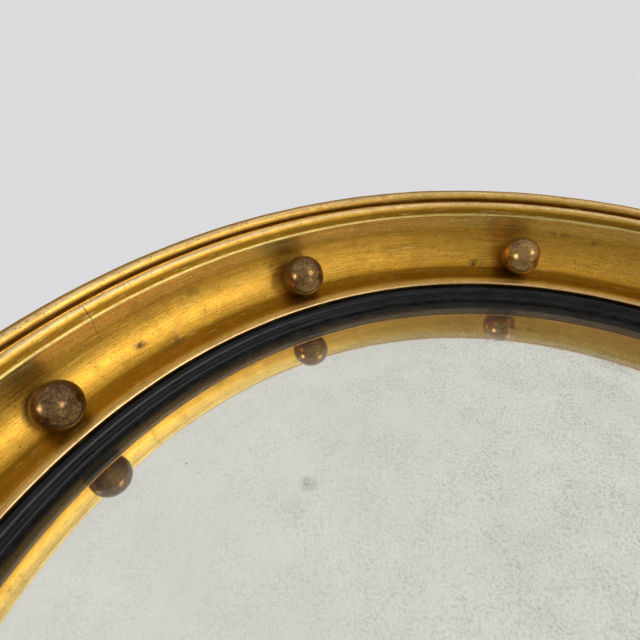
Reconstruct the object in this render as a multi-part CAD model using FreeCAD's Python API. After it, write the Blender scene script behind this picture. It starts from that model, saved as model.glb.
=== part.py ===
# Convex butlers mirror: a turned and gilded ring frame whose hollow carries twelve balls, a reeded
# black slip, a domed mirror plate, and behind them the glazing blocks, the backboard and the hanger.
# Millimetres. +Z is up, the face looks along -Y, and the origin is the middle of the back, in the
# plane where the frame's rim meets the wall. The board and the hanger lie within the frame's depth.
import FreeCAD, Part
import math
import os

Vector = FreeCAD.Vector

# ---- driving dimensions -------------------------------------------------------------------------

# frame section, from the sight edge outwards
sight_radius = 211.0          # gilt sight edge, where gold meets the black slip
sight_edge_thickness = 2.0    # wood left in front of the rebate at the sight edge
strip_width = 3.5             # narrow flat strip just outside the sight edge
strip_rise = 0.6
hollow_radius = 18.5          # round of the hollow that holds the balls
hollow_start = -7.3           # degrees from the hollow's lowest point
hollow_end = 110.0
band_width = 4.0              # band that slopes up from the hollow's outer edge
band_rise = 2.7
inner_bead_width = 3.0
inner_bead_rise = 1.1
quirk_width = 2.4             # dark groove between the two beads
quirk_depth = 1.6
outer_bead_radius = 3.2
outer_bead_end = -60.0        # degrees, where the outer bead turns under
side_ledge = 1.0              # step from the outer bead in to the plain side
side_taper = 3.0              # the side draws in towards the wall by this
back_chamfer = 1.0

# segments of the ring
segment_count = 8
first_joint_angle = 143.0     # degrees, counter-clockwise from +X seen from the front

# rebates behind
rebate_width = 7.5            # slip and plate lie in it, behind the sight edge
ledge_width = 11.5            # ledge that the backboard lies on
fit_gap = 0.1                 # between pieces that are seated on each other

# slip
slip_sight = 6.3              # width of the slip that shows inside the sight edge
slip_thickness = 4.2
slip_inner_edge = 0.4         # upright inner edge beside the plate
slip_edge_gap = 0.5           # between the slip's rim and the rebate
wide_reed_share = 0.62        # of the slip's slope
wide_reed_bulge = 0.9
narrow_reed_bulge = 0.55
reed_groove = 0.4             # width of the groove between the reeds

# mirror plate
plate_curve_radius = 880.0    # round of the plate's front
plate_thickness = 5.0
plate_tuck = 1.0              # the plate's rim is this far outside the sight edge
plate_gap = 0.2               # between the plate and what touches it

# glazing blocks
block_count = 8
block_length = 26.0           # along the rim
block_depth = 6.0             # from the plate's rim to the backboard
block_reach = 5.0             # how far a block goes in behind the plate
block_lip = 2.0               # how far it stands up beside the plate's rim

# backboard
backboard_thickness = 5.0
backboard_gap = 0.5
backboard_screw_count = 8

# balls and dowels
ball_count = 12
ball_radius = 9.55
ball_seat_angle = 29.5        # degrees up the hollow from its lowest point
ball_sink = 0.5               # depth of the shallow seat cut in the hollow
ball_shifts = {2: -0.5}       # degrees, by the ball's number: one was set a little off its even place
dowel_radius = 1.5
dowel_in_ball = 6.0
dowel_in_frame = 8.0

# screws
screw_head_radius = 3.4
screw_shank_radius = 1.7
screw_head_height = 1.9
screw_tip = 2.5
screw_slot_width = 0.8
screw_slot_depth = 0.8
backboard_screw_length = 16.0
hanger_screw_length = 14.0

# hanger
hanger_screw_spacing = 30.0
hanger_plate_side_margin = 6.0    # from each screw to the plate's side
hanger_plate_top_margin = 4.2     # from the screws to the plate's top
hanger_plate_foot = 5.0           # from the hinge to the plate's lower edge
hanger_plate_thickness = 1.5
hanger_plate_corner = 2.0
wire_radius = 1.5             # of the D ring
barrel_length = 16.0
barrel_wall = 1.3
barrel_running_gap = 0.08     # between the ring's bar and the barrel's bore
ring_half_width = 11.0        # middle of the wire
ring_leg = 4.0
ring_corner = 2.5
ring_plate_gap = 0.5          # between the ring and the plate when it lies flat
ring_rim_gap = 0.8            # between the ring and the frame when it stands up
hanger_wall_gap = 0.6         # between the barrel and the wall

# ---- places worked out from them ----------------------------------------------------------------

barrel_bore = wire_radius + barrel_running_gap
hinge_stand = hanger_plate_thickness + ring_plate_gap + wire_radius    # hinge above the board
backboard_recess = hinge_stand + barrel_bore + barrel_wall + hanger_wall_gap

rebate_radius = sight_radius + rebate_width
backboard_radius = rebate_radius + ledge_width - backboard_gap
rabbet_radius = rebate_radius + ledge_width

slip_inner_radius = sight_radius - slip_sight
slip_front = -(sight_edge_thickness + fit_gap)
slip_back = slip_front - slip_thickness

plate_rim_radius = sight_radius + plate_tuck
plate_back_radius = plate_curve_radius - plate_thickness
plate_centre = slip_back - plate_gap - math.sqrt(plate_curve_radius ** 2 - slip_inner_radius ** 2)

sight_depth = (backboard_recess + backboard_thickness + block_depth
               - plate_centre - math.sqrt(plate_back_radius ** 2 - plate_rim_radius ** 2))
backboard_front = backboard_recess + backboard_thickness - sight_depth

front = Vector(0, -1, 0)      # the frame's axis; angles run counter-clockwise seen from the front
middle = Vector(0, 0, 0)


def spot(radius, height):
    """Point of a turned section: radius from the axis, height in front of the sight edge."""
    return Vector(radius, -(sight_depth + height), 0)


def round_spot(centre, radius, degrees):
    """Point on a circle of a turned section, given as (radius, height)."""
    turn = math.radians(degrees)
    return centre[0] + radius * math.cos(turn), centre[1] + radius * math.sin(turn)


def section(start, steps):
    """Face inside an outline. A step is one spot for a line, or two for an arc through the first."""
    edges = []
    here = spot(*start)
    for step in steps:
        ends = [spot(*point) for point in step]
        if len(ends) == 1:
            edges.append(Part.LineSegment(here, ends[0]).toShape())
        else:
            edges.append(Part.Arc(here, ends[0], ends[1]).toShape())
        here = ends[-1]
    edges.append(Part.LineSegment(here, spot(*start)).toShape())
    return Part.Face(Part.Wire(edges))


def turned(face, start=0.0, span=360.0):
    """Solid of a section turned about the mirror's axis."""
    face = face.copy()
    face.rotate(middle, front, start)
    return face.revolve(middle, front, span)


def at_angle(shape, degrees):
    """Copy of a shape turned about the mirror's axis."""
    copy = shape.copy()
    copy.rotate(middle, front, degrees)
    return copy


def ring_angles(count, first):
    """Even angles round the frame."""
    return [first + index * 360.0 / count for index in range(count)]


# ---- screws -------------------------------------------------------------------------------------

def screw_body(length, gap=0.0):
    """Countersunk plain-shanked screw along -Y with its head's face at y = 0; gap makes its hole."""
    head = screw_head_radius + gap
    shank = screw_shank_radius + gap
    end = length + gap
    corners = [(0, gap), (head, gap), (shank, -screw_head_height - gap), (shank, screw_tip - end), (0, -end)]
    outline = [Vector(x, y, 0) for x, y in corners]
    face = Part.Face(Part.makePolygon(outline + outline[:1]))
    return face.revolve(middle, Vector(0, 1, 0), 360)


def screw(length):
    """Screw with a slot across its head."""
    slot_corner = Vector(-2 * screw_head_radius, -screw_slot_depth, -screw_slot_width / 2)
    slot = Part.makeBox(4 * screw_head_radius, 2 * screw_slot_depth, screw_slot_width, slot_corner)
    return screw_body(length).cut(slot)


def moved(shape, place):
    """Copy of a shape moved by a vector."""
    copy = shape.copy()
    copy.translate(place)
    return copy


backboard_screw_radius = (rebate_radius + backboard_radius) / 2
backboard_screw_angles = ring_angles(backboard_screw_count,
                                     first_joint_angle + 180.0 / backboard_screw_count)
backboard_screw_spot = Vector(backboard_screw_radius, -backboard_recess, 0)


def backboard_screws():
    """Screws that hold the backboard to the frame's ledge."""
    one = moved(screw(backboard_screw_length), backboard_screw_spot)
    return [at_angle(one, angle) for angle in backboard_screw_angles]


def backboard_screw_holes():
    """Holes for those screws, through the backboard and into the frame."""
    one = moved(screw_body(backboard_screw_length, fit_gap), backboard_screw_spot)
    return [at_angle(one, angle) for angle in backboard_screw_angles]


# ---- balls and dowels ---------------------------------------------------------------------------

ball_angles = [angle + ball_shifts.get(number, 0.0)
               for number, angle in enumerate(ring_angles(ball_count, 90.0), 1)]

strip_edge = (sight_radius + strip_width, strip_rise)
hollow_centre = round_spot(strip_edge, -hollow_radius, hollow_start - 90.0)
ball_way = round_spot((0, 0), 1.0, ball_seat_angle - 90.0)
ball_offset = hollow_radius + ball_sink - ball_radius
ball_centre = (hollow_centre[0] + ball_offset * ball_way[0],
               hollow_centre[1] + ball_offset * ball_way[1])
ball_axis = Vector(ball_way[0], -ball_way[1], 0)      # out of the ball and into the frame


def dowel_at(gap=0.0):
    """Dowel of the ball at angle zero, from inside the ball into the frame."""
    start = spot(*ball_centre) + ball_axis * (ball_radius - dowel_in_ball - gap)
    length = dowel_in_ball + dowel_in_frame + 2 * gap
    return Part.makeCylinder(dowel_radius + gap, length, start, ball_axis)


def balls():
    """Gilt balls, each bored for its dowel."""
    one = Part.makeSphere(ball_radius, spot(*ball_centre)).cut(dowel_at(fit_gap))
    return [at_angle(one, angle) for angle in ball_angles]


def dowels():
    """Dowels that hold the balls."""
    return [at_angle(dowel_at(), angle) for angle in ball_angles]


def ball_seats():
    """Shallow seats in the hollow, with the dowel holes."""
    seat = Part.makeSphere(ball_radius + fit_gap, spot(*ball_centre))
    cuts = []
    for angle in ball_angles:
        cuts.append(at_angle(seat, angle))
        cuts.append(at_angle(dowel_at(fit_gap), angle))
    return cuts


# ---- frame --------------------------------------------------------------------------------------

hollow_middle = round_spot(hollow_centre, hollow_radius, (hollow_start + hollow_end) / 2 - 90.0)
hollow_edge = round_spot(hollow_centre, hollow_radius, hollow_end - 90.0)
band_edge = (hollow_edge[0] + band_width, hollow_edge[1] + band_rise)
inner_bead_top = (band_edge[0] + inner_bead_width / 2, band_edge[1] + inner_bead_rise)
inner_bead_edge = (band_edge[0] + inner_bead_width, band_edge[1])
quirk_bottom = (inner_bead_edge[0] + quirk_width / 2, inner_bead_edge[1] - quirk_depth)
quirk_edge = (inner_bead_edge[0] + quirk_width, inner_bead_edge[1])
outer_bead_centre = (quirk_edge[0] + outer_bead_radius, quirk_edge[1])
outer_bead_top = round_spot(outer_bead_centre, outer_bead_radius, 90.0)
outer_bead_edge = round_spot(outer_bead_centre, outer_bead_radius, outer_bead_end)
side_top = (outer_bead_edge[0] - side_ledge, outer_bead_edge[1])
back_radius = side_top[0] - side_taper


def frame_section():
    """Section of the ring: moulded front, plain side, and the two rebates behind."""
    return section((sight_radius, 0), [
        [strip_edge],
        [hollow_middle, hollow_edge],
        [band_edge],
        [inner_bead_top, inner_bead_edge],
        [quirk_bottom, quirk_edge],
        [outer_bead_top, outer_bead_edge],
        [side_top],
        [(back_radius, back_chamfer - sight_depth)],
        [(back_radius - back_chamfer, -sight_depth)],
        [(rabbet_radius, -sight_depth)],
        [(rabbet_radius, backboard_front)],
        [(rebate_radius, backboard_front)],
        [(rebate_radius, -sight_edge_thickness)],
        [(sight_radius, -sight_edge_thickness)],
    ])


def frame_segments():
    """Segments of the ring, glued end to end."""
    face = frame_section()
    cuts = ball_seats() + backboard_screw_holes() + hanger_screw_holes()
    span = 360.0 / segment_count
    return [turned(face, start, span).cut(cuts) for start in ring_angles(segment_count, first_joint_angle)]


# ---- slip, plate, blocks and backboard ----------------------------------------------------------

def slope_spot(share, bulge=0.0):
    """Spot on the slip's slope, from its outer end (0) to its inner edge (1), raised by bulge."""
    run = slip_sight
    drop = slip_thickness - slip_inner_edge
    slope = math.hypot(run, drop)
    return (sight_radius - share * run - bulge * drop / slope,
            slip_front - share * drop + bulge * run / slope)


def slip_ring():
    """Slip with a wide and a narrow reed on its slope, and a flat rim under the sight edge."""
    slope = math.hypot(slip_sight, slip_thickness - slip_inner_edge)
    groove_share = wide_reed_share + reed_groove / slope
    rim_radius = rebate_radius - slip_edge_gap
    return turned(section((rim_radius, slip_front), [
        [slope_spot(0)],
        [slope_spot(wide_reed_share / 2, wide_reed_bulge), slope_spot(wide_reed_share)],
        [slope_spot(groove_share)],
        [slope_spot((groove_share + 1) / 2, narrow_reed_bulge), slope_spot(1)],
        [(slip_inner_radius, slip_back)],
        [(rim_radius, slip_back)],
    ]))


def plate_spot(curve_radius, radius):
    """Spot on the front or the back of the domed plate."""
    return radius, plate_centre + math.sqrt(curve_radius ** 2 - radius ** 2)


def mirror_plate():
    """Domed mirror plate, of one thickness."""
    half = plate_rim_radius / 2
    return turned(section((0, plate_centre + plate_curve_radius), [
        [plate_spot(plate_curve_radius, half), plate_spot(plate_curve_radius, plate_rim_radius)],
        [plate_spot(plate_back_radius, plate_rim_radius)],
        [plate_spot(plate_back_radius, half), (0, plate_centre + plate_back_radius)],
    ]))


def glazing_blocks():
    """Blocks between the plate's rim and the backboard, stepped to hold the rim."""
    inner = plate_rim_radius - block_reach
    step = plate_rim_radius + plate_gap
    outer = rebate_radius - fit_gap
    rim_back = plate_spot(plate_back_radius, plate_rim_radius)[1]
    face = section((inner, backboard_front), [
        [(outer, backboard_front)],
        [(outer, rim_back + block_lip)],
        [(step, rim_back + block_lip)],
        [(step, rim_back - plate_gap)],
        [(inner, plate_spot(plate_back_radius, inner)[1] - plate_gap)],
    ])
    span = math.degrees(block_length / rebate_radius)
    first = first_joint_angle + 180.0 / block_count
    return [turned(face, angle - span / 2, span) for angle in ring_angles(block_count, first)]


def backboard():
    """Disc let into the back of the frame and screwed to its ledge."""
    disc = Part.makeCylinder(backboard_radius, backboard_thickness,
                             Vector(0, -backboard_recess, 0), front)
    return disc.cut(backboard_screw_holes() + hanger_screw_holes())


# ---- hanger -------------------------------------------------------------------------------------

hinge_depth = hinge_stand - backboard_recess
hinge_height = rabbet_radius - ring_rim_gap - ring_leg - ring_half_width - wire_radius
hanger_screw_height = math.sqrt(backboard_screw_radius ** 2 - (hanger_screw_spacing / 2) ** 2)
right = Vector(1, 0, 0)


def hanger_screw_spots():
    """Places of the two screws, on the plate's outer face and over the frame's ledge."""
    return [Vector(side * hanger_screw_spacing / 2, hanger_plate_thickness - backboard_recess,
                   hanger_screw_height) for side in (-1, 1)]


def hanger_screws():
    """Screws that hold the hanger plate."""
    return [moved(screw(hanger_screw_length), place) for place in hanger_screw_spots()]


def hanger_screw_holes():
    """Holes for those screws, through the plate and the backboard into the frame."""
    return [moved(screw_body(hanger_screw_length, fit_gap), place) for place in hanger_screw_spots()]


def hanger_plate():
    """Plate on the board, with a barrel across its foot that is bored for the ring's bar."""
    width = hanger_screw_spacing + 2 * hanger_plate_side_margin
    bottom = hinge_height - hanger_plate_foot
    top = hanger_screw_height + hanger_plate_top_margin
    plate = Part.makeBox(width, hanger_plate_thickness, top - bottom,
                         Vector(-width / 2, -backboard_recess, bottom))
    corners = [edge for edge in plate.Edges
               if abs(edge.Vertexes[0].Point.y - edge.Vertexes[1].Point.y) > hanger_plate_thickness / 2]
    plate = plate.makeFillet(hanger_plate_corner, corners)
    barrel = Part.makeCylinder(barrel_bore + barrel_wall, barrel_length,
                               Vector(-barrel_length / 2, hinge_depth, hinge_height), right)
    foot = Part.makeBox(barrel_length, hinge_stand, 2 * barrel_bore,
                        Vector(-barrel_length / 2, -backboard_recess, hinge_height - barrel_bore))
    bore = Part.makeCylinder(barrel_bore, 2 * barrel_length,
                             Vector(-barrel_length, hinge_depth, hinge_height), right)
    return plate.fuse([barrel, foot]).cut([bore] + hanger_screw_holes()).removeSplitter()


def hanger_ring():
    """D ring of round wire, hanging down from the bar that turns in the barrel."""
    def on_ring(x, drop):
        return Vector(x, hinge_depth, hinge_height - drop)

    half = ring_half_width
    bend = ring_corner
    inset = bend * (1 - math.sqrt(0.5))
    path = [
        Part.LineSegment(on_ring(0, 0), on_ring(half - bend, 0)),
        Part.Arc(on_ring(half - bend, 0), on_ring(half - inset, inset), on_ring(half, bend)),
        Part.LineSegment(on_ring(half, bend), on_ring(half, ring_leg)),
        Part.Arc(on_ring(half, ring_leg), on_ring(0, ring_leg + half), on_ring(-half, ring_leg)),
        Part.LineSegment(on_ring(-half, ring_leg), on_ring(-half, bend)),
        Part.Arc(on_ring(-half, bend), on_ring(inset - half, inset), on_ring(bend - half, 0)),
        Part.LineSegment(on_ring(bend - half, 0), on_ring(0, 0)),
    ]
    wire = Part.Wire([curve.toShape() for curve in path])
    profile = Part.Wire([Part.makeCircle(wire_radius, on_ring(0, 0), right)])
    return wire.makePipeShell([profile], True, False)


# ---- write every piece --------------------------------------------------------------------------

def numbered(name, shapes):
    """One node for each of a set of like pieces."""
    return {"%s_%02d" % (name, index): shape for index, shape in enumerate(shapes, 1)}


nodes = {
    "slip_ring": slip_ring(),
    "mirror_plate": mirror_plate(),
    "backboard": backboard(),
    "ball_dowels": Part.makeCompound(dowels()),
    "backboard_screws": Part.makeCompound(backboard_screws()),
    "hanger_plate": hanger_plate(),
    "hanger_ring": hanger_ring(),
    "hanger_screws": Part.makeCompound(hanger_screws()),
}
nodes.update(numbered("frame_segment", frame_segments()))
nodes.update(numbered("ball", balls()))
nodes.update(numbered("glazing_block", glazing_blocks()))

os.makedirs("parts", exist_ok=True)
print("hinge height %.4f, hinge depth %.4f, sight depth %.4f, board recess %.4f" % (
    hinge_height, hinge_depth, sight_depth, backboard_recess))
for name, shape in nodes.items():
    shape.exportStep("parts/%s.step" % name)
    box = shape.optimalBoundingBox(False)
    print("%-18s solids %2d valid %s volume %.1f  x %.1f %.1f  y %.1f %.1f  z %.1f %.1f" % (
        name, len(shape.Solids), shape.isValid(), shape.Volume,
        box.XMin, box.XMax, box.YMin, box.YMax, box.ZMin, box.ZMax))
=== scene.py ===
# Convex butlers mirror: the looks of each piece, in metres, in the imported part's own frame.
# +Z is up and the mirror faces -Y. The file goes through the object as it is put together.
import math
import bmesh
import bpy
import numpy as np
from mathutils import Matrix, Vector


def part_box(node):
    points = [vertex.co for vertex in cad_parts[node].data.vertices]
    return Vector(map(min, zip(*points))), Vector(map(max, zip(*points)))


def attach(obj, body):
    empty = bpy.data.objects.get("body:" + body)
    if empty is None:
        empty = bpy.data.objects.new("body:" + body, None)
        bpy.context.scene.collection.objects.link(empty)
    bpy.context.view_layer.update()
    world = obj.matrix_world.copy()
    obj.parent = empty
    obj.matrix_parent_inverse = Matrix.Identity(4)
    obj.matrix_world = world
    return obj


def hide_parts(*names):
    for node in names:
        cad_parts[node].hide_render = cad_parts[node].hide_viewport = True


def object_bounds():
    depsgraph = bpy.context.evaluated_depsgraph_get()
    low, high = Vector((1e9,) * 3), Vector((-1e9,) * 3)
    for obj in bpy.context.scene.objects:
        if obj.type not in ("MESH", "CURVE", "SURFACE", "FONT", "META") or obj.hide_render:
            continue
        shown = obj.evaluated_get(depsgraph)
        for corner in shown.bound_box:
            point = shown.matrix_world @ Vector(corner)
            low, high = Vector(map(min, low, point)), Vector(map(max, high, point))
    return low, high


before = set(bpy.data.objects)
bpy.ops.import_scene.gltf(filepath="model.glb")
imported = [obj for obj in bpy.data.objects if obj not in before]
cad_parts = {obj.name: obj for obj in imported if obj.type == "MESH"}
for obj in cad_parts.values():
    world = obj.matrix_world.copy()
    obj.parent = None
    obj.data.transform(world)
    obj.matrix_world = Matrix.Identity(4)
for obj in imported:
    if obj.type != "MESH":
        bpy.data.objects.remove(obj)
cad_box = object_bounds()

# ---- gilt frame ---------------------------------------------------------------------------------
# A ring of glued segments, turned, coated with gesso and water gilded in one go, so that leaf and
# size run across the joints. One joint has opened to a hairline. The back is left bare.

# distances in front of the wall, read from the frame
SIGHT_TO_SLIP_BACK = 0.0063
SIGHT_DEPTH = SIGHT_TO_SLIP_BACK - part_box("slip_ring")[1].y      # of the gilt sight edge
BOARD_FRONT_DEPTH = -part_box("backboard")[0].y

# the outline, as radius and height above the sight edge
SIGHT_RADIUS = 0.211
SIGHT_EDGE_THICKNESS = 0.002
STRIP_WIDTH, STRIP_RISE = 0.0035, 0.0006
HOLLOW_RADIUS, HOLLOW_START, HOLLOW_END = 0.0185, -7.3, 110.0
BAND_WIDTH, BAND_RISE = 0.004, 0.0027
INNER_BEAD_WIDTH, INNER_BEAD_RISE = 0.003, 0.0011
QUIRK_WIDTH, QUIRK_DEPTH = 0.0024, 0.0016
OUTER_BEAD_RADIUS, OUTER_BEAD_END = 0.0032, -60.0
SIDE_LEDGE, SIDE_TAPER, BACK_CHAMFER = 0.001, 0.003, 0.001
REBATE_RADIUS, RABBET_RADIUS = 0.2185, 0.230
OUTLINE_STEP = 0.00012        # spacing of the dense outline
GESSO_SOFTENING = 0.0003      # how far gesso rounds each arris
OUTLINE_POINTS = 124
TURN_WEIGHT = 0.0022          # length of outline that one radian of bend counts for
ROUND_STEPS = 720
JOINT_ANGLE, FAINT_JOINT_ANGLE = 142.9, 102.7
JOINT_WIDTH, JOINT_DEPTH = 0.00013, 0.00007
JOINT_COLUMNS, JOINT_REACH = 13, 3.2         # reach of a joint's columns, in joint widths
FAINT_JOINT_SHARE = 0.3
JOINT_OPENS = (0.024, 0.030, 0.053, 0.055)   # across: from shut to open, and shut again
WAVE_HEIGHT, WAVE_LENGTHS = 0.00006, (0.02, 0.09)
RIPPLE_HEIGHT, RIPPLE_LENGTHS = 0.00003, (0.004, 0.010)


def arc(centre, radius, start, end):
    """Points (radius, height) on a circle's arc between two angles in degrees, closely spaced."""
    count = max(3, int(abs(math.radians(end - start)) * radius / OUTLINE_STEP))
    turn = np.radians(np.linspace(start, end, count))
    return np.column_stack([centre[0] + radius * np.cos(turn), centre[1] + radius * np.sin(turn)])


def arc_through(start, top, end):
    """Arc through three points: the circle's centre is where their two mid-perpendiculars meet."""
    start, top, end = (np.array(p) for p in (start, top, end))
    lean = 2 * np.array([top - start, end - start])
    centre = np.linalg.solve(lean, [top @ top - start @ start, end @ end - start @ start])
    angles = np.unwrap([math.atan2(*(p - centre)[::-1]) for p in (start, top, end)])
    return arc(centre, np.linalg.norm(start - centre), *np.degrees(angles[[0, 2]]))


def straight(start, end):
    """Points on a line, closely spaced."""
    count = max(2, int(math.dist(start, end) / OUTLINE_STEP))
    return np.linspace(start, end, count)


strip_edge = (SIGHT_RADIUS + STRIP_WIDTH, STRIP_RISE)
hollow_turn = math.radians(HOLLOW_START - 90)
hollow_centre = (strip_edge[0] - HOLLOW_RADIUS * math.cos(hollow_turn),
                 strip_edge[1] - HOLLOW_RADIUS * math.sin(hollow_turn))
hollow_arc = arc(hollow_centre, HOLLOW_RADIUS, HOLLOW_START - 90, HOLLOW_END - 90)
hollow_edge = tuple(hollow_arc[-1])
band_edge = (hollow_edge[0] + BAND_WIDTH, hollow_edge[1] + BAND_RISE)
inner_bead_edge = (band_edge[0] + INNER_BEAD_WIDTH, band_edge[1])
inner_bead_top = (band_edge[0] + INNER_BEAD_WIDTH / 2, band_edge[1] + INNER_BEAD_RISE)
quirk_edge = (inner_bead_edge[0] + QUIRK_WIDTH, inner_bead_edge[1])
quirk_bottom = (inner_bead_edge[0] + QUIRK_WIDTH / 2, inner_bead_edge[1] - QUIRK_DEPTH)
outer_bead_centre = (quirk_edge[0] + OUTER_BEAD_RADIUS, quirk_edge[1])
outer_bead_arc = arc(outer_bead_centre, OUTER_BEAD_RADIUS, 180, OUTER_BEAD_END)
side_top = (outer_bead_arc[-1][0] - SIDE_LEDGE, outer_bead_arc[-1][1])
back_radius = side_top[0] - SIDE_TAPER
board_front = BOARD_FRONT_DEPTH - SIGHT_DEPTH
frame_stages = [
    straight((SIGHT_RADIUS, 0), strip_edge),
    hollow_arc,
    straight(hollow_edge, band_edge),
    arc_through(band_edge, inner_bead_top, inner_bead_edge),
    arc_through(inner_bead_edge, quirk_bottom, quirk_edge),
    outer_bead_arc,
    straight(outer_bead_arc[-1], side_top),
    straight(side_top, (back_radius, BACK_CHAMFER - SIGHT_DEPTH)),
    straight((back_radius, BACK_CHAMFER - SIGHT_DEPTH), (back_radius - BACK_CHAMFER, -SIGHT_DEPTH)),
    straight((back_radius - BACK_CHAMFER, -SIGHT_DEPTH), (RABBET_RADIUS, -SIGHT_DEPTH)),
    straight((RABBET_RADIUS, -SIGHT_DEPTH), (RABBET_RADIUS, board_front)),
    straight((RABBET_RADIUS, board_front), (REBATE_RADIUS, board_front)),
    straight((REBATE_RADIUS, board_front), (REBATE_RADIUS, -SIGHT_EDGE_THICKNESS)),
    straight((REBATE_RADIUS, -SIGHT_EDGE_THICKNESS), (SIGHT_RADIUS, -SIGHT_EDGE_THICKNESS)),
    straight((SIGHT_RADIUS, -SIGHT_EDGE_THICKNESS), (SIGHT_RADIUS, 0)),
]
FIRST_BARE_STAGE, GILT_RETURN_STAGE = 8, 14     # the back and rebate are bare, the sight edge's return gilt


def softened(outline, reach):
    """Closed outline averaged with its neighbours by a bell curve, which rounds its arrises."""
    half = int(3 * reach / OUTLINE_STEP)
    bell = np.exp(-0.5 * (np.arange(-half, half + 1) * OUTLINE_STEP / reach) ** 2)
    bell /= bell.sum()
    wrapped = np.concatenate([outline[-half:], outline, outline[:half]])
    return np.column_stack([np.convolve(wrapped[:, i], bell, "valid") for i in (0, 1)])


def spaced_by_bend(outline, count):
    """Indices of points spread evenly over length plus turn, so bends get more of them."""
    step = np.roll(outline, -1, axis=0) - outline
    way = np.arctan2(step[:, 1], step[:, 0])
    turn = np.abs((np.roll(way, -1) - way + math.pi) % (2 * math.pi) - math.pi)
    travel = np.cumsum(np.linalg.norm(step, axis=1) + TURN_WEIGHT * turn)
    return np.unique(np.searchsorted(travel, np.linspace(0, travel[-1], count, endpoint=False)))


dense = np.concatenate([stage[:-1] for stage in frame_stages])
stage_marks = np.cumsum([0] + [len(stage) - 1 for stage in frame_stages])
dense_soft = softened(dense, GESSO_SOFTENING)
kept = spaced_by_bend(dense_soft, OUTLINE_POINTS)
frame_outline = dense_soft[kept]


def round_angles(steps, special):
    """Angles round the ring: even steps, and a cluster of columns at each hairline joint."""
    cluster = np.linspace(-1, 1, JOINT_COLUMNS) * JOINT_REACH * JOINT_WIDTH / SIGHT_RADIUS
    even = np.arange(steps) * 2 * math.pi / steps
    for angle in special:
        even = even[np.abs(even - math.radians(angle)) > 1.3 * math.pi / steps]
        even = np.concatenate([even, math.radians(angle) + cluster])
    return np.sort(even)


frame_angles = round_angles(ROUND_STEPS, (JOINT_ANGLE, FAINT_JOINT_ANGLE))


def waves(places, seed, lengths, count=24):
    """Soft unevenness from -1 to 1: the mean of sine waves in random directions and phases."""
    draw = np.random.default_rng(seed)
    total = np.zeros(places.shape[:-1])
    for length in draw.uniform(*lengths, count):
        way = draw.normal(size=3)
        way /= np.linalg.norm(way)
        total += np.sin(places @ way * 2 * math.pi / length + draw.uniform(0, 2 * math.pi))
    return total / math.sqrt(count)


def turned_grid(outline, angles):
    """Points of an outline (radius, height) turned about the mirror's axis: rows x angles x 3."""
    radius, height = outline[:, :1], outline[:, 1:]
    depth = np.broadcast_to(-(SIGHT_DEPTH + height), (len(outline), len(angles)))
    return np.stack([radius * np.cos(angles), depth, radius * np.sin(angles)], axis=-1)


def outline_normals(outline):
    """Outward normals of a closed outline, square to the line between each point's neighbours."""
    along = np.roll(outline, -1, axis=0) - np.roll(outline, 1, axis=0)
    along /= np.linalg.norm(along, axis=1)[:, None]
    return np.column_stack([-along[:, 1], along[:, 0]])


def grid_mesh(name, points, closed_across=True):
    """Smooth mesh of quads over a grid of points; its columns close round, its rows if asked."""
    rows, columns = points.shape[:2]
    index = np.arange(rows * columns).reshape(rows, columns)
    here = index if closed_across else index[:-1]
    beyond = np.roll(index, -1, axis=0) if closed_across else index[1:]
    quads = np.stack([here, beyond, np.roll(beyond, -1, axis=1), np.roll(here, -1, axis=1)], axis=-1)
    mesh = bpy.data.meshes.new(name)
    mesh.from_pydata(points.reshape(-1, 3).tolist(), [], quads.reshape(-1, 4).tolist())
    mesh.shade_smooth()
    return mesh


def point_attribute(mesh, name, values):
    """Stores one number, or one colour, for each point of a mesh."""
    if values.ndim == 1:
        mesh.attributes.new(name, "FLOAT", "POINT").data.foreach_set("value", values.astype(np.float32))
    else:
        colours = np.column_stack([values, np.ones(len(values))]).astype(np.float32)
        mesh.attributes.new(name, "FLOAT_COLOR", "POINT").data.foreach_set("color", colours.ravel())


def second_material_on(mesh, rows, columns):
    """Gives the faces of the marked rows of a grid the mesh's second material."""
    mesh.polygons.foreach_set("material_index", np.repeat(rows, columns).astype(np.int32))


def placed(name, mesh, *materials):
    """Object at the origin that holds a mesh with its materials."""
    piece = bpy.data.objects.new(name, mesh)
    for material in materials:
        mesh.materials.append(material)
    bpy.context.collection.objects.link(piece)
    return piece


def new_material(name):
    """Node material and its shader."""
    material = bpy.data.materials.new(name)
    material.use_nodes = True
    return material, material.node_tree, material.node_tree.nodes["Principled BSDF"]


def node(tree, kind, inputs=None, **settings):
    """Node with its settings; each input takes a number, a colour, or another node's output."""
    made = tree.nodes.new("ShaderNode" + kind)
    for key, value in settings.items():
        setattr(made, key, value)
    for key, value in (inputs or {}).items():
        if isinstance(value, bpy.types.NodeSocket):
            tree.links.new(value, made.inputs[key])
        else:
            made.inputs[key].default_value = value
    return made


def noise(tree, place, scale, detail=3.0, roughness=0.55):
    """Value from 0 to 1 of a noise of that many features per metre."""
    made = node(tree, "TexNoise", {"Vector": place, "Scale": scale, "Detail": detail, "Roughness": roughness})
    return made.outputs["Factor" if "Factor" in made.outputs else "Fac"]


def between(tree, value, low, high, to_low=0.0, to_high=1.0):
    """Value spread from one range to another, and held within it."""
    made = node(tree, "MapRange", {"Value": value, "From Min": low, "From Max": high,
                                   "To Min": to_low, "To Max": to_high})
    return made.outputs["Result"]


def times(tree, first, second):
    """Product of two values."""
    return node(tree, "Math", {0: first, 1: second}, operation="MULTIPLY").outputs[0]


def plus(tree, first, second):
    """Sum of two values."""
    return node(tree, "Math", {0: first, 1: second}, operation="ADD").outputs[0]


def larger(tree, first, second):
    """The larger of two values."""
    return node(tree, "Math", {0: first, 1: second}, operation="MAXIMUM").outputs[0]


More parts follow.
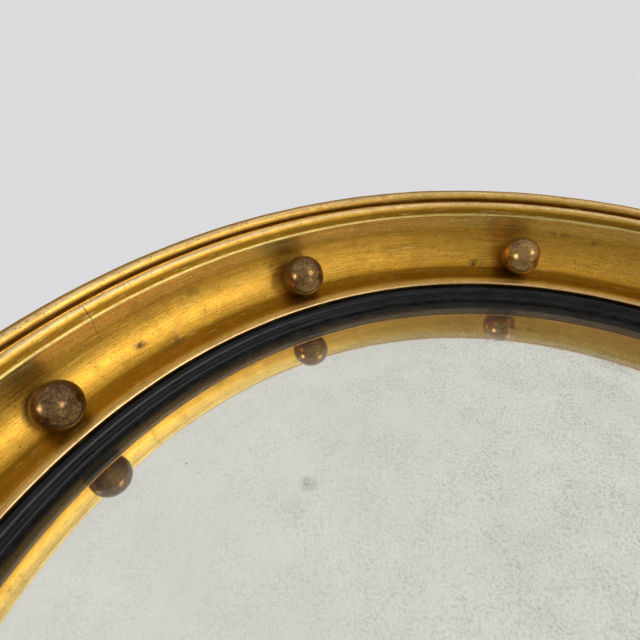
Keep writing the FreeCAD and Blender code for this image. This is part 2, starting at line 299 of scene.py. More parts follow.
def blend(tree, share, first, second, way="MIX"):
    """Mix of two colours by a share."""
    made = node(tree, "Mix", {0: share, 6: first, 7: second}, data_type="RGBA", blend_type=way)
    return made.outputs[2]


def shades(tree, place_scale):
    """Object coordinates, stretched by a scale along each axis."""
    place = node(tree, "TexCoord").outputs["Object"]
    return node(tree, "Mapping", {"Vector": place, "Scale": place_scale}).outputs["Vector"]


def attribute(tree, name, output="Fac"):
    """Value or colour stored on the mesh."""
    return node(tree, "Attribute", attribute_name=name).outputs[output]


def raised(tree, shader, height, strength, distance):
    """Gives a shader a fine relief by a height from 0 to 1."""
    relief = node(tree, "Bump", {"Height": height, "Strength": strength, "Distance": distance})
    tree.links.new(relief.outputs["Normal"], shader.inputs["Normal"])


# colour of the leaf by its place on the moulding, with painted highlights, reflections and shade
# painted highlights: on the bead tops, and on the arris between the hollow and the band
LEAF_BEAD_HIGHLIGHT = (1.00, 0.72, 0.33)
LEAF_ARRIS_HIGHLIGHT = (1.00, 0.78, 0.27)
# painted reflection: the bright line along the ridge
LEAF_REFLECTION_LINE = (0.98, 0.58, 0.13)
LEAF_STRIP = (0.55, 0.305, 0.050)
# darker on the hollow's floor
LEAF_FLOOR_DARK = (0.26, 0.120, 0.005)
# painted highlight on the ridge
LEAF_RIDGE_HIGHLIGHT = (0.66, 0.36, 0.040)
LEAF_WALL = (0.62, 0.350, 0.048)
LEAF_BAND = (0.74, 0.42, 0.060)
# painted reflection on the top of the wall
LEAF_WALL_TOP_REFLECTION = (1.00, 0.70, 0.19)
# painted highlight on the lip's arris
LEAF_LIP_HIGHLIGHT = (0.90, 0.66, 0.32)
# painted shade on the band
LEAF_BAND_SHADE = (0.20, 0.100, 0.007)
LEAF_SHADED = (0.37, 0.185, 0.035)
# painted shade on the outer bead's outer edge
LEAF_EDGE_SHADE = (0.40, 0.24, 0.07)
# painted shade in the quirk and on the sight edge's return
GROOVE_SHADE = (0.085, 0.030, 0.003)
LEAF_EDGE_TINT = (1.0, 0.66, 0.24, 1)     # of the metal's reflection at a grazing angle
HOLLOW_LENGTH = HOLLOW_RADIUS * math.radians(HOLLOW_END - HOLLOW_START)
BEAD_AND_QUIRK_LENGTH = 0.0086      # along the outline, from the start of the inner bead to the outer one


def leaf_tones():
    """Distances along the outline from the sight edge, and the leaf's colour and wear at each.

    Each is counted from the sight edge or from the start of the hollow, band, inner or outer bead."""
    hollow = STRIP_WIDTH
    band = hollow + HOLLOW_LENGTH
    bead = band + math.hypot(BAND_WIDTH, BAND_RISE)
    outer = bead + BEAD_AND_QUIRK_LENGTH
    # painted highlights, reflections and shade by place along the outline, and a darker floor to the hollow
    return [
        (-0.0004, GROOVE_SHADE, 0.1), (-0.0001, LEAF_LIP_HIGHLIGHT, 0.1), (0.0004, LEAF_LIP_HIGHLIGHT, 0.1),
        (0.0010, LEAF_STRIP, 0.2), (hollow - 0.0006, LEAF_STRIP, 0.2),
        (hollow + 0.0010, LEAF_FLOOR_DARK, 0.3), (hollow + 0.0085, LEAF_FLOOR_DARK, 0.3),
        (hollow + 0.0098, LEAF_RIDGE_HIGHLIGHT, 0.8), (hollow + 0.0102, LEAF_REFLECTION_LINE, 0.5),
        (hollow + 0.0108, LEAF_RIDGE_HIGHLIGHT, 0.8),
        (hollow + 0.0135, LEAF_WALL, 0.7), (hollow + 0.0290, LEAF_WALL, 0.4),
        (band - 0.0040, LEAF_WALL_TOP_REFLECTION, 0.3), (band - 0.0014, LEAF_WALL_TOP_REFLECTION, 0.2),
        (band - 0.0009, LEAF_ARRIS_HIGHLIGHT, 0.0), (band + 0.0002, LEAF_ARRIS_HIGHLIGHT, 0.0),
        (band + 0.0006, LEAF_BAND_SHADE, 0.4), (bead - 0.0016, LEAF_BAND_SHADE, 0.6),
        (bead + 0.0002, LEAF_BAND, 0.6), (bead + 0.0010, LEAF_BEAD_HIGHLIGHT, 0.5),
        (bead + 0.0026, LEAF_BEAD_HIGHLIGHT, 0.8), (bead + 0.0072, LEAF_BAND, 0.6),
        (bead + 0.0080, GROOVE_SHADE, 0.4), (outer + 0.0006, GROOVE_SHADE, 0.4),
        (outer + 0.0016, LEAF_STRIP, 0.4), (outer + 0.0024, LEAF_BAND, 0.9),
        (outer + 0.0041, LEAF_BEAD_HIGHLIGHT, 0.9), (outer + 0.0049, LEAF_EDGE_SHADE, 0.8),
        (outer + 0.0100, LEAF_SHADED, 0.6), (outer + 0.0500, LEAF_SHADED, 0.3),
    ]


# stains: angle round the ring in degrees, distance across the moulding, half length, half width, strength
STAINS = [
    (139.9, 0.0187, 0.0020, 0.0013, 1.4),
    (136.9, 0.0120, 0.0060, 0.0022, 0.55),
    (132.5, 0.0288, 0.0050, 0.0030, 0.35),
    (106.7, 0.0082, 0.0040, 0.0016, 0.6),
    (95.2, 0.0133, 0.0055, 0.0022, 0.9),
    (85.0, 0.0324, 0.0060, 0.0016, 0.6),
    (79.6, 0.0302, 0.0080, 0.0022, 0.5),
    (28.0, 0.0150, 0.0060, 0.0022, 0.7),
    (-35.0, 0.0260, 0.0070, 0.0030, 0.6),
    (-98.0, 0.0110, 0.0080, 0.0024, 0.8),
    (-152.0, 0.0310, 0.0050, 0.0022, 0.6),
]
LEAF_LENGTH, LEAF_LAP = 0.078, 0.0012     # of the squares of leaf along the ring, and their overlap
LEAF_UNEVEN = 0.12                        # how far a square's edge strays, in squares
LAP_SHADE = 0.9                           # how much brighter the leaf is where it is double


def leaf_squares(along, seed):
    """Shade of each square of leaf from -1 to 1 by distance round the ring, and 1 where two overlap."""
    draw = np.random.default_rng(seed)
    count = int(2 * math.pi * SIGHT_RADIUS / LEAF_LENGTH)
    edges = np.arange(count + 1) + draw.uniform(-LEAF_UNEVEN, LEAF_UNEVEN, count + 1)
    edges *= 2 * math.pi * SIGHT_RADIUS / count
    edges[[0, -1]] = 0, 2 * math.pi * SIGHT_RADIUS
    shade = draw.uniform(-1, 1, count)[np.clip(np.searchsorted(edges, along) - 1, 0, count - 1)]
    nearest = np.abs(along[:, None] - edges).min(axis=1)
    return shade, np.exp(-(nearest / LEAF_LAP) ** 2)


dense_length = np.concatenate([[0], np.cumsum(np.linalg.norm(np.diff(dense, axis=0), axis=1))])
on_the_return = kept >= stage_marks[GILT_RETURN_STAGE]
frame_across = dense_length[kept] - np.where(on_the_return, dense_length[-1], 0)
tone_spots, tone_colours, tone_wear = zip(*leaf_tones())
frame_tone = np.column_stack([np.interp(frame_across, tone_spots, channel) for channel in zip(*tone_colours)])
frame_wear = np.interp(frame_across, tone_spots, tone_wear)

frame_points = turned_grid(frame_outline, frame_angles)
frame_normals = outline_normals(frame_outline)
normal_grid = np.stack([frame_normals[:, :1] * np.cos(frame_angles),
                        np.broadcast_to(-frame_normals[:, 1:], frame_points.shape[:2]),
                        frame_normals[:, :1] * np.sin(frame_angles)], axis=-1)
front_and_side = kept < stage_marks[FIRST_BARE_STAGE]
row_is_bare = ~front_and_side & ~on_the_return


def hairline_joint(angle, share):
    """Depth from 0 to a share of one: a bell curve over the distance from the joint, along the ring."""
    away = (frame_angles - math.radians(angle)) * frame_outline[:, :1]
    return share * np.exp(-(away / JOINT_WIDTH) ** 2)


opened = np.interp(frame_across, JOINT_OPENS, (0.0, 1.0, 1.0, 0.0))[:, None]
hairline = (hairline_joint(JOINT_ANGLE, 1.0) + hairline_joint(FAINT_JOINT_ANGLE, FAINT_JOINT_SHARE)) * opened
stained = np.zeros(frame_points.shape[:2])
for angle, across, half_length, half_width, strength in STAINS:
    turn = (frame_angles - math.radians(angle) + math.pi) % (2 * math.pi) - math.pi
    along_it = turn * frame_outline[:, :1] / half_length
    across_it = ((frame_across - across) / half_width)[:, None]
    stained = np.maximum(stained, strength * np.exp(-along_it ** 2 - across_it ** 2))
square_shade, lap = leaf_squares(frame_angles * SIGHT_RADIUS, 8)
unevenness = (WAVE_HEIGHT * waves(frame_points, 3, WAVE_LENGTHS)
              + RIPPLE_HEIGHT * waves(frame_points, 4, RIPPLE_LENGTHS))
frame_points += normal_grid * (front_and_side[:, None] * (unevenness - JOINT_DEPTH * hairline))[..., None]

frame_mesh = grid_mesh("gilt_frame_ring", frame_points)
point_attribute(frame_mesh, "tone", np.repeat(frame_tone, len(frame_angles), axis=0))
point_attribute(frame_mesh, "wear", np.repeat(frame_wear, len(frame_angles)))
point_attribute(frame_mesh, "hairline", hairline.ravel())
point_attribute(frame_mesh, "stained", stained.ravel())
point_attribute(frame_mesh, "across", np.repeat(frame_across, len(frame_angles)))
point_attribute(frame_mesh, "square", np.tile(square_shade + LAP_SHADE * lap, len(frame_outline)))


def round_place(tree, across, stretch):
    """Place for marks that run round the ring: the ring's own plane shrunk, so marks grow along it."""
    parts = node(tree, "SeparateXYZ", {"Vector": shades(tree, (stretch, 1, stretch))})
    return node(tree, "CombineXYZ", {"X": parts.outputs["X"], "Y": across,
                                     "Z": parts.outputs["Z"]}).outputs["Vector"]


def specks(tree, place, per_metre, size, share):
    """Value from 0 to 1 of small round specks: one in each of a share of cells, to size in cell widths."""
    cells = node(tree, "TexVoronoi", {"Vector": place, "Scale": per_metre, "Randomness": 1.0})
    drawn = node(tree, "SeparateColor", {"Color": cells.outputs["Color"]}).outputs["Red"]
    inside = between(tree, cells.outputs["Distance"], size * 0.6, size, 1.0, 0.0)
    return times(tree, inside, between(tree, drawn, 1 - share, 1 - share + 0.02))


def gilt_material():
    """Water gilding: satin leaf over red-brown clay, brushed round the ring, specked and stained."""
    material, tree, shader = new_material("water_gilding")
    place = shades(tree, (1, 1, 1))
    across = attribute(tree, "across")
    wear = attribute(tree, "wear")
    brushed = round_place(tree, across, 0.03)
    streak = noise(tree, brushed, 1300.0, 4.0, 0.62)
    hair = noise(tree, round_place(tree, across, 0.10), 3200.0, 3.0, 0.6)
    cloud = noise(tree, place, 26.0, 4.0)
    mottle = noise(tree, place, 170.0, 5.0, 0.65)
    # the tone holds painted highlights, reflections and shade along the moulding
    leaf = attribute(tree, "tone", "Color")
    shade = between(tree, streak, 0.3, 0.7, 0.74, 1.22)
    shade = times(tree, shade, between(tree, hair, 0.3, 0.7, 0.84, 1.16))
    shade = times(tree, shade, between(tree, cloud, 0.3, 0.7, 0.88, 1.10))
    shade = times(tree, shade, between(tree, attribute(tree, "square"), -1.0, 1.9, 0.95, 1.10))
    grey = node(tree, "CombineColor", {"Red": shade, "Green": shade, "Blue": shade}).outputs[0]
    leaf = blend(tree, 1.0, leaf, grey, "MULTIPLY")
    thin = times(tree, between(tree, mottle, 0.50, 0.70), between(tree, cloud, 0.42, 0.62, 0.1, 0.5))
    leaf = blend(tree, thin, leaf, (0.34, 0.165, 0.03, 1))
    grit = noise(tree, round_place(tree, across, 0.55), 2100.0, 3.0, 0.7)
    leaf = blend(tree, between(tree, grit, 0.42, 0.62, 0.0, 0.34), leaf, (0.20, 0.095, 0.012, 1))
    scratch = noise(tree, round_place(tree, across, 0.04), 2600.0, 2.0, 0.5)
    leaf = blend(tree, between(tree, scratch, 0.66, 0.74, 0.0, 0.55), leaf, (1.0, 0.74, 0.33, 1))
    dash = noise(tree, round_place(tree, across, 0.12), 900.0, 4.0, 0.7)
    dashes = times(tree, between(tree, dash, 0.60, 0.70), wear)
    leaf = blend(tree, times(tree, dashes, 0.75), leaf, (0.13, 0.05, 0.008, 1))
    dots = specks(tree, round_place(tree, across, 0.6), 330.0, 0.11, 0.22)
    pins = specks(tree, round_place(tree, across, 0.5), 950.0, 0.27, 0.36)
    pins = times(tree, pins, between(tree, wear, 0.0, 1.0, 0.25, 0.8))
    dark = larger(tree, times(tree, dots, 0.85), pins)
    leaf = blend(tree, dark, leaf, (0.045, 0.022, 0.008, 1))
    stain = times(tree, attribute(tree, "stained"), between(tree, mottle, 0.42, 0.56, 0.10, 1.0))
    leaf = blend(tree, between(tree, stain, 0.06, 0.70, 0.0, 0.92), leaf, (0.060, 0.042, 0.014, 1))
    crack = between(tree, attribute(tree, "hairline"), 0.25, 1.0, 0.0, 0.6)
    leaf = blend(tree, crack, leaf, (0.06, 0.028, 0.006, 1))
    tree.links.new(leaf, shader.inputs["Base Color"])
    bare = larger(tree, dark, stain)
    tree.links.new(between(tree, bare, 0.0, 1.0, 1.0, 0.35), shader.inputs["Metallic"])
    shader.inputs["Specular Tint"].default_value = LEAF_EDGE_TINT
    rough = between(tree, streak, 0.3, 0.7, 0.33, 0.44)
    rough = plus(tree, rough, between(tree, mottle, 0.3, 0.7, 0.0, 0.06))
    tree.links.new(rough, shader.inputs["Roughness"])
    round_way = node(tree, "Tangent", direction_type="RADIAL", axis="Y").outputs["Tangent"]
    tree.links.new(round_way, shader.inputs["Tangent"])
    shader.inputs["Anisotropic"].default_value = 0.6
    shader.inputs["Anisotropic Rotation"].default_value = 0.25
    raised(tree, shader, plus(tree, times(tree, streak, 0.7), times(tree, mottle, 0.5)), 0.22, 0.0002)
    return material


def bare_wood_material(name, light, dark, grain):
    """Unfinished wood: long grain along one axis in two browns, with pores as fine dark lines."""
    material, tree, shader = new_material(name)
    place = shades(tree, grain)
    broad = noise(tree, place, 6.0, 5.0, 0.6)
    fine = noise(tree, place, 60.0, 4.0, 0.7)
    colour = blend(tree, between(tree, broad, 0.35, 0.65), dark, light)
    colour = blend(tree, between(tree, fine, 0.55, 0.75, 0.0, 0.6), colour, dark)
    tree.links.new(colour, shader.inputs["Base Color"])
    tree.links.new(between(tree, fine, 0.3, 0.7, 0.6, 0.85), shader.inputs["Roughness"])
    raised(tree, shader, fine, 0.3, 0.0003)
    return material


WOOD_LIGHT, WOOD_DARK, WOOD_GRAIN = (0.42, 0.27, 0.13, 1), (0.20, 0.11, 0.045, 1), (1, 8, 8)
frame_wood = bare_wood_material("aged_pine", WOOD_LIGHT, WOOD_DARK, WOOD_GRAIN)
gilt_frame = placed("gilt_frame_ring", frame_mesh, gilt_material(), frame_wood)
second_material_on(frame_mesh, row_is_bare, len(frame_angles))
segments = [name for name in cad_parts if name.startswith("frame_segment_")]
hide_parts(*segments)
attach(gilt_frame, "mirror")

# ---- balls --------------------------------------------------------------------------------------
# Turned wooden balls, gilded and bronzed, then worn: specked, with bright rubbed spots, and with
# painted light, lighter below and browner on top. Each sits in a shallow seat in the hollow on its own dowel.

BALL_RINGS, BALL_COLUMNS = 48, 72
BALL_UNEVEN, BALL_DRAWN_IN = 0.006, 0.004      # shares of the radius
BALL_WAVE_LENGTHS = (0.9, 2.2)                 # in ball radii
BALL_FIRST_SEED = 20
# how far each ball is rubbed, from 0, brown, to 1, bright
BALL_RUBBING = (0.62, 0.36, 0.30, 0.45, 0.70, 0.20, 0.50, 0.35, 0.80, 0.25, 0.60, 0.40)


def ball_mesh(name, centre, radius, seed):
    """Sphere by latitude and longitude, its radius uneven by a few hundredths of a millimetre."""
    tilt = np.linspace(0, math.pi, BALL_RINGS)[:, None]
    turn = np.linspace(0, 2 * math.pi, BALL_COLUMNS, endpoint=False)
    way = np.stack([np.sin(tilt) * np.cos(turn), np.sin(tilt) * np.sin(turn),
                    np.broadcast_to(np.cos(tilt), (BALL_RINGS, BALL_COLUMNS))], axis=-1)
    reach = radius * (1 + BALL_UNEVEN * waves(way, seed, BALL_WAVE_LENGTHS) - BALL_DRAWN_IN)
    return grid_mesh(name, np.array(centre) + way * reach[..., None], closed_across=False)


def close_poles(mesh):
    """Merges the points that share a place and turns all faces outwards."""
    work = bmesh.new()
    work.from_mesh(mesh)
    bmesh.ops.remove_doubles(work, verts=work.verts, dist=1e-7)
    bmesh.ops.recalc_face_normals(work, faces=work.faces)
    work.to_mesh(mesh)
    work.free()
    mesh.shade_smooth()


def bronzed_material():
    """Bronzed gilding: brown lacquer over leaf, worn through in fine mottling; painted light makes it lighter
    below and darker on the upper side.
    """
    material, tree, shader = new_material("bronzed_gilding")
    place = shades(tree, (1, 1, 1))
    patch = noise(tree, place, 110.0, 3.0)
    mottle = noise(tree, place, 1000.0, 6.0, 0.75)
    fleck = noise(tree, place, 1500.0, 5.0, 0.7)
    facing = node(tree, "NewGeometry").outputs["Normal"]
    upwards = node(tree, "SeparateXYZ", {"Vector": facing}).outputs["Z"]
    # painted light: more bright leaf on the lower side and less on the upper side, added to each ball's
    # rubbing
    painted_light_below = between(tree, upwards, 0.45, -0.75, -0.05, 0.06)
    rubbed = plus(tree, between(tree, attribute(tree, "rubbed"), 0.0, 1.0, -0.10, 0.13), painted_light_below)
    rubbed = plus(tree, rubbed, between(tree, patch, 0.3, 0.7, -0.06, 0.06))
    bright = plus(tree, mottle, rubbed)
    colour = blend(tree, between(tree, patch, 0.35, 0.65), (0.095, 0.046, 0.022, 1), (0.17, 0.090, 0.036, 1))
    colour = blend(tree, between(tree, bright, 0.42, 0.70, 0.0, 0.80), colour, (0.60, 0.37, 0.12, 1))
    colour = blend(tree, between(tree, fleck, 0.46, 0.70, 0.0, 0.80), colour, (0.050, 0.026, 0.014, 1))
    tree.links.new(colour, shader.inputs["Base Color"])
    shader.inputs["Metallic"].default_value = 0.9
    tree.links.new(between(tree, mottle, 0.3, 0.7, 0.28, 0.18), shader.inputs["Roughness"])
    raised(tree, shader, mottle, 0.22, 0.0001)
    return material


bronzed = bronzed_material()
ball_names = sorted(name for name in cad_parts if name.startswith("ball_") and name != "ball_dowels")
for number, name in enumerate(ball_names):
    low, high = (np.array(corner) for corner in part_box(name))
    radius = float((high - low).max()) / 2
    mesh = ball_mesh("gilt_" + name, (low + high) / 2, radius, BALL_FIRST_SEED + number)
    close_poles(mesh)
    point_attribute(mesh, "rubbed", np.full(len(mesh.vertices), BALL_RUBBING[number]))
    ball = placed("gilt_" + name, mesh, bronzed)
    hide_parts(name)
    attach(ball, "mirror")

# ---- black slip ---------------------------------------------------------------------------------
# A thin turned ring, ebonised and waxed, with a wide and a narrow reed. It lies in the rebate on
# the plate. It is dusty in patches and rubbed, in a few places, to the red-brown ground.

SLIP_SIGHT, SLIP_THICKNESS, SLIP_INNER_EDGE = 0.0063, 0.0042, 0.0004
SLIP_FRONT = -0.0021
SLIP_RIM_RADIUS = 0.218
WIDE_REED_SHARE, WIDE_REED_BULGE, NARROW_REED_BULGE, REED_GROOVE = 0.62, 0.0009, 0.00055, 0.0004
SLIP_SOFTENING = 0.00012
SLIP_POINTS = 60
SLIP_BLACK, SLIP_DUSTY = (0.0020, 0.0025, 0.0032, 1), (0.010, 0.012, 0.014, 1)

slip_drop = SLIP_THICKNESS - SLIP_INNER_EDGE
slip_slope = math.hypot(SLIP_SIGHT, slip_drop)


def slope_spot(share, bulge=0.0):
    """Place on the slip's slope by its share of the width, raised square to the slope."""
    return (SIGHT_RADIUS - share * SLIP_SIGHT - bulge * slip_drop / slip_slope,
            SLIP_FRONT - share * slip_drop + bulge * SLIP_SIGHT / slip_slope)


groove_share = WIDE_REED_SHARE + REED_GROOVE / slip_slope
slip_inner, slip_back = SIGHT_RADIUS - SLIP_SIGHT, SLIP_FRONT - SLIP_THICKNESS
slip_stages = [
    straight((slip_inner, slip_back), slope_spot(1)),
    arc_through(slope_spot(1), slope_spot((groove_share + 1) / 2, NARROW_REED_BULGE),
                slope_spot(groove_share)),
    straight(slope_spot(groove_share), slope_spot(WIDE_REED_SHARE)),
    arc_through(slope_spot(WIDE_REED_SHARE), slope_spot(WIDE_REED_SHARE / 2, WIDE_REED_BULGE),
                slope_spot(0)),
    straight(slope_spot(0), (SLIP_RIM_RADIUS, SLIP_FRONT)),
    straight((SLIP_RIM_RADIUS, SLIP_FRONT), (SLIP_RIM_RADIUS, slip_back)),
    straight((SLIP_RIM_RADIUS, slip_back), (slip_inner, slip_back)),
]
slip_dense = softened(np.concatenate([stage[:-1] for stage in slip_stages]), SLIP_SOFTENING)
slip_outline = slip_dense[spaced_by_bend(slip_dense, SLIP_POINTS)]
even_angles = np.arange(ROUND_STEPS) * 2 * math.pi / ROUND_STEPS
slip_mesh = grid_mesh("black_reeded_slip", turned_grid(slip_outline, even_angles))


def ebonised_material():
    """Black stain and wax on wood: satin, dusty in patches, rubbed in specks to a dark red-brown."""
    material, tree, shader = new_material("ebonised_wood")
    place = shades(tree, (1, 1, 1))
    dust = noise(tree, shades(tree, (0.25, 1, 0.25)), 420.0, 5.0, 0.65)
    rub = noise(tree, place, 70.0, 5.0, 0.7)
    colour = blend(tree, between(tree, dust, 0.45, 0.75), SLIP_BLACK, SLIP_DUSTY)
    colour = blend(tree, between(tree, rub, 0.68, 0.74, 0.0, 0.8), colour, (0.05, 0.016, 0.009, 1))
    tree.links.new(colour, shader.inputs["Base Color"])
    shader.inputs["Specular IOR Level"].default_value = 0.24
    tree.links.new(between(tree, dust, 0.3, 0.7, 0.20, 0.38), shader.inputs["Roughness"])
    raised(tree, shader, dust, 0.25, 0.0002)
    return material


slip = placed("black_reeded_slip", slip_mesh, ebonised_material())
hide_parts("slip_ring")
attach(slip, "mirror")

# ---- mirror plate -------------------------------------------------------------------------------
# A domed sheet of glass, silvered on its hollow back and round its rim, which lies in the rebate
# behind the slip. The silvering has foxed to fine grey specks, thicker on the right.

PLATE_CURVE_RADIUS, PLATE_THICKNESS, PLATE_RIM_RADIUS = 0.880, 0.005, 0.212
PLATE_GAP = 0.0002
PLATE_RINGS = 68
GLASS_TINT = (0.985, 0.995, 0.98, 1)
SILVER_PALE, SILVER_DULL = (0.99, 0.985, 0.905, 1), (0.90, 0.89, 0.795, 1)
SILVER_CLOUDED = (0.66, 0.64, 0.55, 1)
FOXED_GREY, PINHOLE_GREY, SMUDGE_GREY = (0.36, 0.35, 0.29, 1), (0.36, 0.34, 0.29, 1), (0.22, 0.24, 0.19, 1)
# marks on the silvering: place across, place up, reach, strength
SMUDGES = [
    (-0.0972, 0.0924, 0.0032, 0.52),
    (-0.1426, 0.0990, 0.0005, 0.80),
    (-0.1010, 0.0830, 0.0060, 0.10),
]
plate_centre = slip_back - PLATE_GAP - math.sqrt(PLATE_CURVE_RADIUS ** 2 - slip_inner ** 2)


def dome(curve_radius, radii):
    """Outline of a dome: height is the centre's plus the root of curve radius less radius, squared."""
    return np.column_stack([radii, plate_centre + np.sqrt(curve_radius ** 2 - radii ** 2)])


plate_radii = np.linspace(0, PLATE_RIM_RADIUS, PLATE_RINGS)
plate_outline = np.concatenate([dome(PLATE_CURVE_RADIUS, plate_radii),
                                dome(PLATE_CURVE_RADIUS - PLATE_THICKNESS, plate_radii[::-1])])
plate_mesh = grid_mesh("domed_mirror_plate", turned_grid(plate_outline, even_angles), closed_across=False)
row_is_silvered = np.arange(2 * PLATE_RINGS - 1) >= PLATE_RINGS - 1
second_material_on(plate_mesh, row_is_silvered, ROUND_STEPS)
close_poles(plate_mesh)


def glass_material():
    """Clear old glass, faintly grey-green."""
    material, _, shader = new_material("plate_glass")
    shader.inputs["Base Color"].default_value = GLASS_TINT
    shader.inputs["Roughness"].default_value = 0.0
    shader.inputs["IOR"].default_value = 1.5
    shader.inputs["Transmission Weight"].default_value = 1.0
    shader.inputs["Specular IOR Level"].default_value = 0.3
    return material


def silvered_material():
    """Silvering seen through the glass, dulled and specked where it has foxed."""
    material, tree, shader = new_material("foxed_silvering")
    place = shades(tree, (1, 1, 1))
    side = node(tree, "SeparateXYZ", {"Vector": place}).outputs["X"]
    spread = between(tree, side, -0.13, 0.06, 0.30, 1.0)
    patch = noise(tree, place, 24.0, 5.0, 0.7)
    cloud = noise(tree, place, 75.0, 4.0, 0.65)
    pin = noise(tree, place, 1050.0, 4.0, 0.75)
    pinholes = specks(tree, place, 420.0, 0.24, 0.55)
    foxing = times(tree, between(tree, pin, 0.46, 0.70), between(tree, cloud, 0.36, 0.60, 0.35, 1.0))
    foxing = times(tree, foxing, spread)
    clouded = times(tree, between(tree, cloud, 0.46, 0.70, 0.0, 0.16), spread)
    pierced = times(tree, pinholes, between(tree, side, -0.10, 0.06, 0.06, 0.34))
    silver = blend(tree, between(tree, patch, 0.35, 0.68), SILVER_PALE, SILVER_DULL)
    silver = blend(tree, clouded, silver, SILVER_CLOUDED)
    silver = blend(tree, pierced, silver, PINHOLE_GREY)
    colour = blend(tree, times(tree, foxing, 0.85), silver, FOXED_GREY)
    for across, up, reach, strength in SMUDGES:
        away = node(tree, "VectorMath", {0: place, 1: (across, 0, up)}, operation="SUBTRACT").outputs[0]
        flat = node(tree, "Mapping", {"Vector": away, "Scale": (1, 0, 1)}).outputs["Vector"]
        far = node(tree, "VectorMath", {0: flat}, operation="LENGTH").outputs["Value"]
        inside = between(tree, far, reach * 1.2, reach * 0.3)
        mark = times(tree, inside, between(tree, pin, 0.35, 0.6, 0.35, 1.0))
        colour = blend(tree, times(tree, mark, strength), colour, SMUDGE_GREY)
    tree.links.new(colour, shader.inputs["Base Color"])
    shader.inputs["Metallic"].default_value = 0.93
    tree.links.new(between(tree, foxing, 0.0, 1.0, 0.02, 0.16), shader.inputs["Roughness"])
    return material


plate = placed("domed_mirror_plate", plate_mesh, glass_material(), silvered_material())
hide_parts("mirror_plate")
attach(plate, "mirror")

# ---- backboard, blocks and dowels ---------------------------------------------------------------
# The backboard is a thin pine disc, aged brown, let into the frame's back. The blocks behind the
# plate and the dowels in the balls are plain pieces of the frame's wood, and don't show.

BOARD_LIGHT, BOARD_DARK, BOARD_GRAIN = (0.40, 0.255, 0.125, 1), (0.27, 0.155, 0.070, 1), (1, 10, 10)
board_wood = bare_wood_material("backboard_pine", BOARD_LIGHT, BOARD_DARK, BOARD_GRAIN)


def repaint(name, material):
    """Gives a piece of the frame a new material."""
    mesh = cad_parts[name].data
    mesh.materials.clear()
    mesh.materials.append(material)


repaint("backboard", board_wood)
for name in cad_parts:
    if name.startswith("glazing_block_") or name == "ball_dowels":
        repaint(name, frame_wood)

# ---- hanger and screws --------------------------------------------------------------------------
# Cast brass plate with a barrel, a D ring of bent brass wire, and slotted brass screws, all dull.


def brass_material():
    """Dull brass: brown tarnish in patches over rubbed yellow metal."""
    material, tree, shader = new_material("dull_brass")
    place = shades(tree, (1, 1, 1))
    tarnish = noise(tree, place, 260.0, 5.0, 0.65)
    colour = blend(tree, between(tree, tarnish, 0.38, 0.64), (0.62, 0.43, 0.15, 1), (0.22, 0.13, 0.05, 1))
    tree.links.new(colour, shader.inputs["Base Color"])
    shader.inputs["Metallic"].default_value = 1.0
    tree.links.new(between(tree, tarnish, 0.3, 0.7, 0.28, 0.55), shader.inputs["Roughness"])
    return material


brass = brass_material()
for name in ("hanger_plate", "hanger_ring", "hanger_screws", "backboard_screws"):
    repaint(name, brass)

# ---- studio -------------------------------------------------------------------------------------
# Pale floor below the frame, pale surroundings, and four soft lights: three windows and the room.

FLOOR_SIZE = 8.0
FLOOR_GAP = 0.002
FLOOR_HEIGHT = cad_box[0].z - FLOOR_GAP
FLOOR_COLOUR = (0.72, 0.72, 0.73, 1)
SURROUND = (0.71, 0.71, 0.725, 1)

floor_mesh = bpy.data.meshes.new("floor")
half = FLOOR_SIZE / 2
floor_mesh.from_pydata([(-half, -half, FLOOR_HEIGHT), (half, -half, FLOOR_HEIGHT),
                        (half, half, FLOOR_HEIGHT), (-half, half, FLOOR_HEIGHT)], [], [(0, 1, 2, 3)])
floor_material, _, floor_shader = new_material("pale_floor")
floor_shader.inputs["Base Color"].default_value = FLOOR_COLOUR
floor_shader.inputs["Roughness"].default_value = 0.8
floor = placed("floor", floor_mesh, floor_material)
# the photographed mirror lay flat, so here its light comes from below the floor's plane
floor.visible_shadow = False

world = bpy.data.worlds.new("surroundings")
world.use_nodes = True
bpy.context.scene.world = world
world.node_tree.nodes["Background"].inputs["Color"].default_value = SURROUND
world.node_tree.nodes["Background"].inputs["Strength"].default_value = 1.0


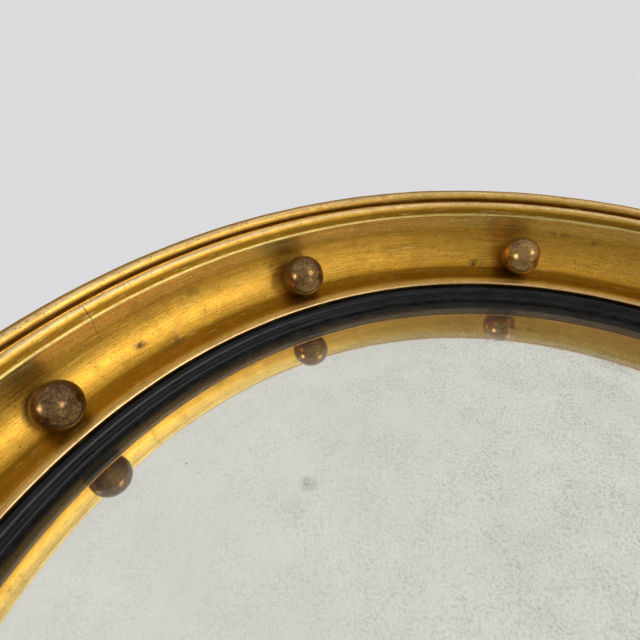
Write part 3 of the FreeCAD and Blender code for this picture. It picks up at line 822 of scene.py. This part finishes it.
def window(name, towards, strength, spread, colour):
    """Distant soft light: towards is the way to it, and spread its width in degrees."""
    data = bpy.data.lights.new(name, "SUN")
    data.energy, data.angle, data.color = strength, math.radians(spread), colour
    light = bpy.data.objects.new(name, data)
    bpy.context.collection.objects.link(light)
    light.location = towards
    light.rotation_mode = "QUATERNION"
    light.rotation_quaternion = (-Vector(towards)).to_track_quat("-Z", "Y")


window("window_left", (-0.735, -0.36, -0.57), 0.9, 13.0, (1.0, 0.96, 0.90))
window("window_right", (0.73, -0.15, -0.65), 0.15, 9.0, (1.0, 0.96, 0.90))
window("window_wide", (0.69, -0.68, -0.27), 0.76, 15.0, (1.0, 0.95, 0.86))
window("room", (0.62, -0.40, -0.67), 0.55, 80.0, (1.0, 0.95, 0.88))
bpy.context.scene.view_settings.view_transform = "Standard"

# ---- camera -------------------------------------------------------------------------------------
# A hand-held camera close in front of the plate, below the top of the frame, looking up at it.
# Its place was fitted to the edges of the moulding.

IMAGE_SIZE = 640
FOCAL_PIXELS = 490.0
SENSOR_WIDTH = 36.0
CAMERA_SIDE = -0.0931
CAMERA_HEIGHT = 0.0174
CAMERA_BEFORE_SIGHT_EDGE = 0.1675
CAMERA_FORWARD = Vector((-0.0276, 0.7284, 0.6846))
CAMERA_UP = Vector((-0.0823, -0.6842, 0.7247))

camera_data = bpy.data.cameras.new("camera")
camera_data.sensor_width = SENSOR_WIDTH
camera_data.lens = SENSOR_WIDTH * FOCAL_PIXELS / IMAGE_SIZE
camera_data.clip_start = 0.005
camera = bpy.data.objects.new("camera", camera_data)
bpy.context.collection.objects.link(camera)
camera_right = CAMERA_FORWARD.cross(CAMERA_UP).normalized()
camera_up = camera_right.cross(CAMERA_FORWARD).normalized()
camera_turn = Matrix((camera_right, camera_up, -CAMERA_FORWARD.normalized())).transposed()
camera.matrix_world = camera_turn.to_4x4()
camera.location = (CAMERA_SIDE, -SIGHT_DEPTH - CAMERA_BEFORE_SIGHT_EDGE, CAMERA_HEIGHT)
bpy.context.scene.camera = camera
